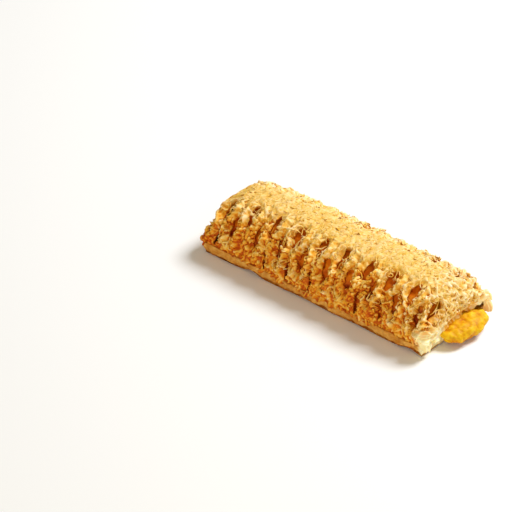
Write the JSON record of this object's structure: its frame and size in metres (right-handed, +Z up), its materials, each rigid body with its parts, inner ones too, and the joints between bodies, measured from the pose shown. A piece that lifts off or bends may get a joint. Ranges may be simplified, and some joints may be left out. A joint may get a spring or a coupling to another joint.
{
  "type": "cheese lattice pastry",
  "caption": "Long puff pastry with a puffed, slit lattice top over a thin pastry base, with cheese filling that has run out at one end.",
  "frame": {"origin": "centre of the base sheet's flat underside, which is the surface the pastry rests on", "axes": "+X along the pastry, towards the end where the cheese has run out; +Y across it; +Z up"},
  "size_m": [0.1713, 0.055, 0.0347],
  "materials": {
    "crust": "baked, satin",
    "base_crust": "baked, matte",
    "cheese": "melted, satin"
  },
  "bodies": {
    "root": {"base_sheet": "base_crust", "cheese_filling": "cheese", "lattice_top": "crust"}
  },
  "joints": []
}
